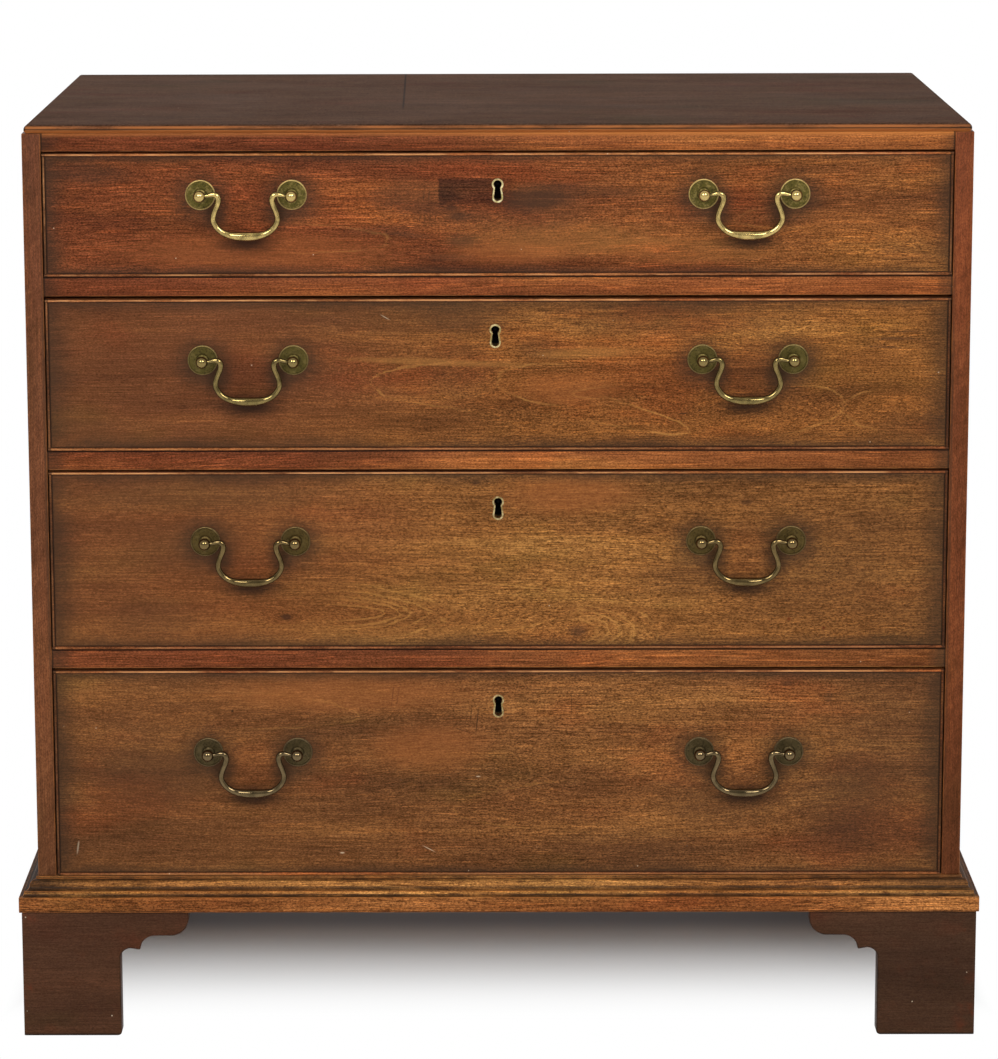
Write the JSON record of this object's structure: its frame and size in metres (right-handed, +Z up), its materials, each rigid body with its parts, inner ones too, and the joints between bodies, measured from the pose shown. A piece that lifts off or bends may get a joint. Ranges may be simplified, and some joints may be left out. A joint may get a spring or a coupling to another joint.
{
  "type": "chest of drawers",
  "caption": "Straight-front chest of long drawers, graduated in height, with cock-beaded fronts, swan-neck bail handles, a moulded base and shaped bracket feet.",
  "frame": {"origin": "on the floor, under the middle of the whole chest's box, handles included", "axes": "+X to the chest's right as seen from the front, -Y out of the drawer fronts, +Z up"},
  "size_m": [0.95, 0.541, 0.908],
  "materials": {
    "carcase_mahogany": "old french polish",
    "drawer_front_mahogany": "old french polish",
    "bead_mahogany": "polished, worn bright",
    "moulding_mahogany": "polished, worn bright",
    "foot_mahogany": "old polish, scuffed",
    "pine": "bare, aged",
    "drawer_lining": "bare, aged",
    "handle_brass": "aged, rubbed bright",
    "lock_brass": "dull, aged"
  },
  "bodies": {
    "carcase": {"top_board": "carcase_mahogany", "sub_top": "pine", "side_panel_left": "carcase_mahogany", "side_panel_right": "carcase_mahogany", "top_front_rail": "carcase_mahogany", "drawer_dividers": "carcase_mahogany", "dustboards": "pine", "drawer_runners": "pine", "bottom_board": "pine", "back_boards": "pine", "drawer_stops": "pine", "base_frame": "pine", "base_moulding_front": "moulding_mahogany", "base_moulding_left": "moulding_mahogany", "base_moulding_right": "moulding_mahogany", "foot_front_left": "foot_mahogany", "foot_front_right": "foot_mahogany", "foot_back_left": "foot_mahogany", "foot_back_right": "foot_mahogany", "glue_blocks": "pine"},
    "drawer_1": {"drawer_1_front": "drawer_front_mahogany", "drawer_1_cock_beads": "bead_mahogany", "drawer_1_sides": "drawer_lining", "drawer_1_back": "drawer_lining", "drawer_1_bottom": "drawer_lining", "drawer_1_handle_fixings": "handle_brass", "drawer_1_lock": "lock_brass"},
    "drawer_1_lock_bolt": {"drawer_1_lock_bolt": "lock_brass"},
    "drawer_1_bail_left": {"drawer_1_bail_left": "handle_brass"},
    "drawer_1_bail_right": {"drawer_1_bail_right": "handle_brass"},
    "drawer_2": {"drawer_2_front": "drawer_front_mahogany", "drawer_2_cock_beads": "bead_mahogany", "drawer_2_sides": "drawer_lining", "drawer_2_back": "drawer_lining", "drawer_2_bottom": "drawer_lining", "drawer_2_handle_fixings": "handle_brass", "drawer_2_lock": "lock_brass"},
    "drawer_2_lock_bolt": {"drawer_2_lock_bolt": "lock_brass"},
    "drawer_2_bail_left": {"drawer_2_bail_left": "handle_brass"},
    "drawer_2_bail_right": {"drawer_2_bail_right": "handle_brass"},
    "drawer_3": {"drawer_3_front": "drawer_front_mahogany", "drawer_3_cock_beads": "bead_mahogany", "drawer_3_sides": "drawer_lining", "drawer_3_back": "drawer_lining", "drawer_3_bottom": "drawer_lining", "drawer_3_handle_fixings": "handle_brass", "drawer_3_lock": "lock_brass"},
    "drawer_3_lock_bolt": {"drawer_3_lock_bolt": "lock_brass"},
    "drawer_3_bail_left": {"drawer_3_bail_left": "handle_brass"},
    "drawer_3_bail_right": {"drawer_3_bail_right": "handle_brass"},
    "drawer_4": {"drawer_4_front": "drawer_front_mahogany", "drawer_4_cock_beads": "bead_mahogany", "drawer_4_sides": "drawer_lining", "drawer_4_back": "drawer_lining", "drawer_4_bottom": "drawer_lining", "drawer_4_handle_fixings": "handle_brass", "drawer_4_lock": "lock_brass"},
    "drawer_4_lock_bolt": {"drawer_4_lock_bolt": "lock_brass"},
    "drawer_4_bail_left": {"drawer_4_bail_left": "handle_brass"},
    "drawer_4_bail_right": {"drawer_4_bail_right": "handle_brass"}
  },
  "joints": [
    {"name": "drawer_1_slide", "type": "slide", "parent": "carcase", "child": "drawer_1", "axis": [0, -1, 0], "range_m": [0, 0.36]},
    {"name": "drawer_1_bolt_throw", "type": "slide", "parent": "drawer_1", "child": "drawer_1_lock_bolt", "axis": [0, 0, 1], "range_m": [0, 0.007]},
    {"name": "drawer_1_left_bail_swing", "type": "hinge", "parent": "drawer_1", "child": "drawer_1_bail_left", "pos_m": [-0.242, -0.2645, 0.8405], "axis": [-1, 0, 0], "range_deg": [-10, 100]},
    {"name": "drawer_1_right_bail_swing", "type": "hinge", "parent": "drawer_1", "child": "drawer_1_bail_right", "pos_m": [0.242, -0.2645, 0.8405], "axis": [-1, 0, 0], "range_deg": [-10, 100]},
    {"name": "drawer_2_slide", "type": "slide", "parent": "carcase", "child": "drawer_2", "axis": [0, -1, 0], "range_m": [0, 0.36]},
    {"name": "drawer_2_bolt_throw", "type": "slide", "parent": "drawer_2", "child": "drawer_2_lock_bolt", "axis": [0, 0, 1], "range_m": [0, 0.007]},
    {"name": "drawer_2_left_bail_swing", "type": "hinge", "parent": "drawer_2", "child": "drawer_2_bail_left", "pos_m": [-0.242, -0.2645, 0.6795], "axis": [-1, 0, 0], "range_deg": [-10, 100]},
    {"name": "drawer_2_right_bail_swing", "type": "hinge", "parent": "drawer_2", "child": "drawer_2_bail_right", "pos_m": [0.242, -0.2645, 0.6795], "axis": [-1, 0, 0], "range_deg": [-10, 100]},
    {"name": "drawer_3_slide", "type": "slide", "parent": "carcase", "child": "drawer_3", "axis": [0, -1, 0], "range_m": [0, 0.36]},
    {"name": "drawer_3_bolt_throw", "type": "slide", "parent": "drawer_3", "child": "drawer_3_lock_bolt", "axis": [0, 0, 1], "range_m": [0, 0.007]},
    {"name": "drawer_3_left_bail_swing", "type": "hinge", "parent": "drawer_3", "child": "drawer_3_bail_left", "pos_m": [-0.242, -0.2645, 0.5], "axis": [-1, 0, 0], "range_deg": [-10, 100]},
    {"name": "drawer_3_right_bail_swing", "type": "hinge", "parent": "drawer_3", "child": "drawer_3_bail_right", "pos_m": [0.242, -0.2645, 0.5], "axis": [-1, 0, 0], "range_deg": [-10, 100]},
    {"name": "drawer_4_slide", "type": "slide", "parent": "carcase", "child": "drawer_4", "axis": [0, -1, 0], "range_m": [0, 0.36]},
    {"name": "drawer_4_bolt_throw", "type": "slide", "parent": "drawer_4", "child": "drawer_4_lock_bolt", "axis": [0, 0, 1], "range_m": [0, 0.007]},
    {"name": "drawer_4_left_bail_swing", "type": "hinge", "parent": "drawer_4", "child": "drawer_4_bail_left", "pos_m": [-0.242, -0.2645, 0.2875], "axis": [-1, 0, 0], "range_deg": [-10, 100]},
    {"name": "drawer_4_right_bail_swing", "type": "hinge", "parent": "drawer_4", "child": "drawer_4_bail_right", "pos_m": [0.242, -0.2645, 0.2875], "axis": [-1, 0, 0], "range_deg": [-10, 100]}
  ]
}
